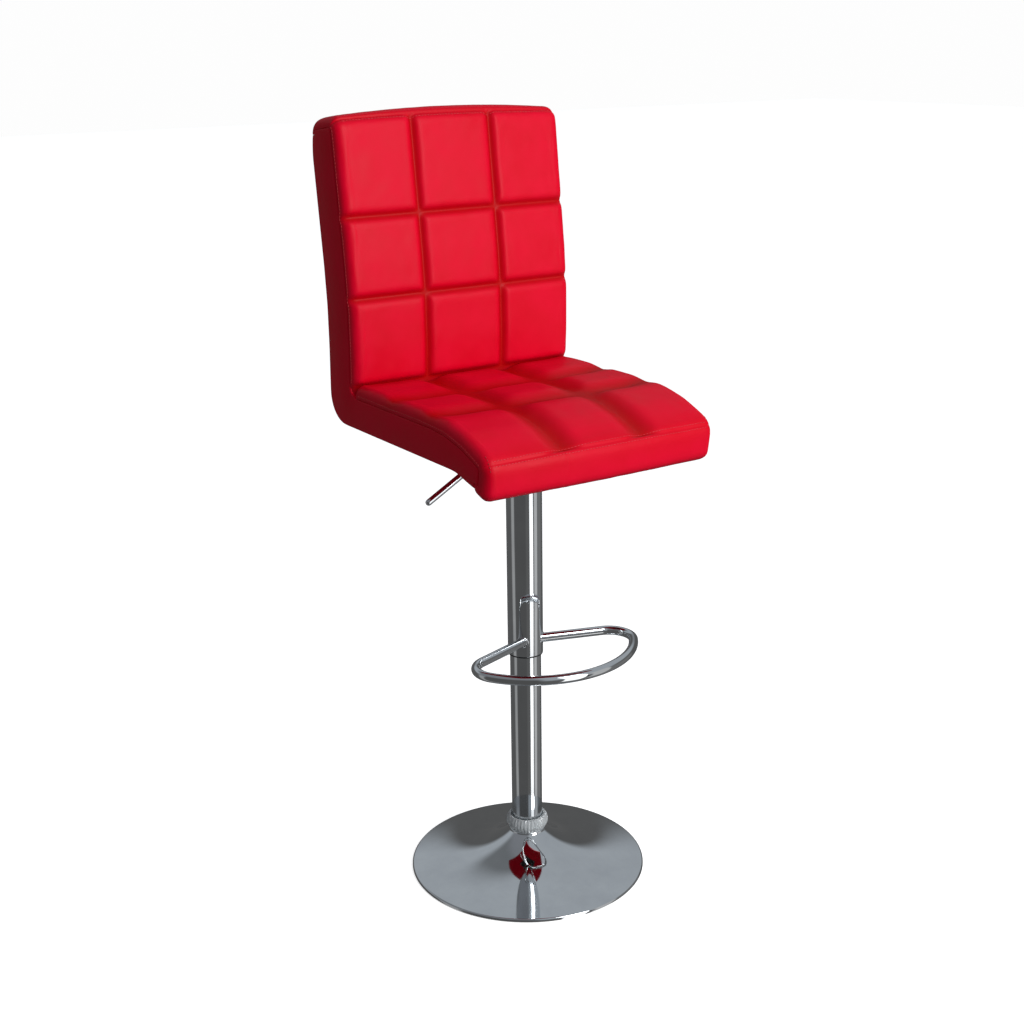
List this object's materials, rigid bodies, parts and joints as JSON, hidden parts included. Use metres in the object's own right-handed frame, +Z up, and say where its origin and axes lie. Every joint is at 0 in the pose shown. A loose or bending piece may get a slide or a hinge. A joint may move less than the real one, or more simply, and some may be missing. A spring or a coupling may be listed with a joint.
{
  "type": "swivel bar stool",
  "caption": "Height-adjustable swivel bar stool with a trumpet base, gas lift column, loop footrest, release lever and padded L-shaped seat and back.",
  "frame": {"origin": "centre of the stool's overall footprint on the floor; the column's axis stands 35 mm in front of it", "axes": "+Z up, the sitter faces -Y, the sitter's left is +X"},
  "size_m": [0.403, 0.486, 1.2095],
  "materials": {
    "chrome": "mirror-polished plating",
    "steel": "turned or pressed, bare",
    "zinc": "bright zinc plating",
    "black_steel": "black powder coat",
    "rubber": "matt moulded",
    "nylon": "moulded",
    "clear_plastic": "clear and polished",
    "plywood": "bent birch plywood, raw",
    "leather": "semi-gloss imitation leather",
    "cushion": "semi-gloss imitation leather, quilted over foam"
  },
  "bodies": {
    "base": {"base_disc": "chrome", "floor_ring": "rubber", "clamp_washer": "zinc", "clamp_nut": "zinc", "column_foot": "steel", "column_tube": "chrome", "guide_bush": "nylon", "neck_collar": "clear_plastic", "thrust_washer_lower": "steel", "thrust_ball_cage": "steel"},
    "rod": {"thrust_washer_upper": "steel", "travel_buffer": "rubber", "piston_rod": "chrome", "piston": "nylon", "rod_clip": "steel"},
    "seat": {"gas_cylinder": "black_steel", "rod_guide": "nylon", "cover_tube": "chrome", "cover_cap": "steel", "glide_sleeve": "nylon", "footrest_ring": "chrome", "seat_plate": "black_steel", "cone_socket": "steel", "lever_bracket": "steel", "lever_pin": "steel", "pin_clip": "steel", "plywood_shell": "plywood", "under_cover": "leather", "seat_cushion": "cushion", "back_cushion": "cushion", "boxing_left": "leather", "boxing_right": "leather", "seat_bolt_1": "zinc", "seat_bolt_2": "zinc", "seat_bolt_3": "zinc", "seat_bolt_4": "zinc", "seat_washer_1": "zinc", "seat_washer_2": "zinc", "seat_washer_3": "zinc", "seat_washer_4": "zinc", "tee_nut_1": "zinc", "tee_nut_2": "zinc", "tee_nut_3": "zinc", "tee_nut_4": "zinc"},
    "lever": {"lever_rod": "chrome"},
    "valve": {"valve_button": "steel"}
  },
  "joints": [
    {"name": "seat_swivel", "type": "hinge", "parent": "base", "child": "rod", "pos_m": [0, -0.03481, 0.0774], "axis": [0, 0, 1], "continuous": true},
    {"name": "seat_lift", "type": "slide", "parent": "rod", "child": "seat", "axis": [0, 0, 1], "range_m": [-0.21, 0]},
    {"name": "lever_tilt", "type": "hinge", "parent": "seat", "child": "lever", "pos_m": [-0.045, -0.03481, 0.7224], "axis": [0, 1, 0], "range_deg": [0, 6.3], "stiffness_Nm_per_rad": 4, "springref_deg": -6.88},
    {"name": "valve_press", "type": "slide", "parent": "seat", "child": "valve", "axis": [0, 0, -1], "range_m": [0, 0.005], "stiffness_N_per_m": 1200, "springref_m": -0.004}
  ],
  "couplings": [
    {"joint": "valve_press", "follows": "lever_tilt", "m_per_rad": 0.045}
  ]
}
